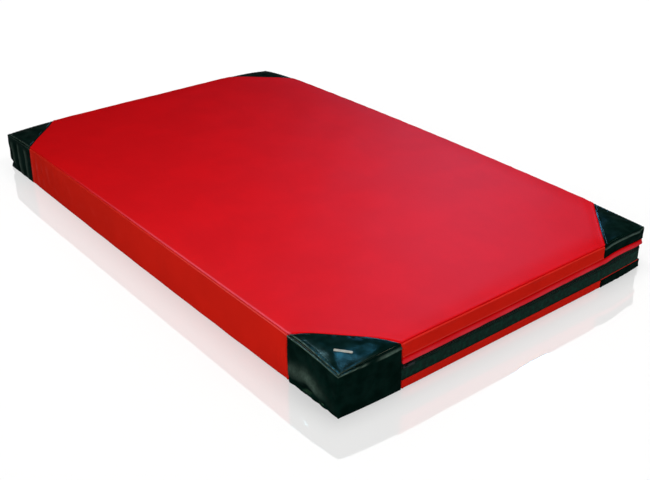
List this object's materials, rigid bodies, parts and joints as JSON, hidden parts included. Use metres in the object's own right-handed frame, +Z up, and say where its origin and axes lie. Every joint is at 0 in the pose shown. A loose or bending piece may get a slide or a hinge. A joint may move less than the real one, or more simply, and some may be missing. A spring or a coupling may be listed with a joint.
{
  "type": "gymnastics mat",
  "caption": "Thick foam landing mat in a sewn red cover with black leatherette corners and a zip under a flap across one end, for gymnastics and climbing.",
  "frame": {"origin": "middle of the mat's footprint on the floor", "axes": "+X along the length towards the zip end, +Y across the width towards the back side, +Z up"},
  "size_m": [2.0045, 1.2224, 0.15],
  "materials": {
    "red_cloth": "satin",
    "black_leatherette": "gloss",
    "underside_cloth": "matte",
    "foam": "matte",
    "black_webbing": "matte",
    "black_plastic": "satin",
    "black_metal": "satin",
    "steel": "satin"
  },
  "bodies": {
    "mat": {"top_panel": "red_cloth", "front_side_wall": "red_cloth", "left_end_wall": "red_cloth", "back_side_wall": "red_cloth", "zip_end_upper_band": "red_cloth", "zip_end_lower_band": "red_cloth", "zip_flap": "red_cloth", "near_corner_top_patch": "black_leatherette", "near_corner_bottom_patch": "black_leatherette", "left_corner_top_patch": "black_leatherette", "left_corner_bottom_patch": "black_leatherette", "back_corner_top_patch": "black_leatherette", "back_corner_bottom_patch": "black_leatherette", "right_corner_top_patch": "black_leatherette", "right_corner_bottom_patch": "black_leatherette", "near_corner_side_patch": "black_leatherette", "left_corner_side_patch": "black_leatherette", "back_corner_side_patch": "black_leatherette", "right_corner_upper_side_patch": "black_leatherette", "right_corner_lower_side_patch": "black_leatherette", "bottom_panel": "underside_cloth", "foam_core": "foam", "zip_facing": "black_webbing", "zip_lower_tape": "black_webbing", "zip_upper_tape": "black_webbing", "zip_lower_teeth": "black_plastic", "zip_upper_teeth": "black_plastic", "zip_near_stop": "steel", "zip_far_stop": "steel"},
    "slider": {"zip_slider": "black_metal"},
    "pull_tab": {"zip_pull_tab": "black_metal"}
  },
  "joints": [
    {"name": "slider_run", "type": "slide", "parent": "mat", "child": "slider", "axis": [0, 1, 0], "range_m": [0, 0.755]},
    {"name": "pull_tab_swing", "type": "hinge", "parent": "slider", "child": "pull_tab", "pos_m": [0.9983, -0.39572, 0.06912], "axis": [0, 0, -1], "range_deg": [0, 165]}
  ]
}
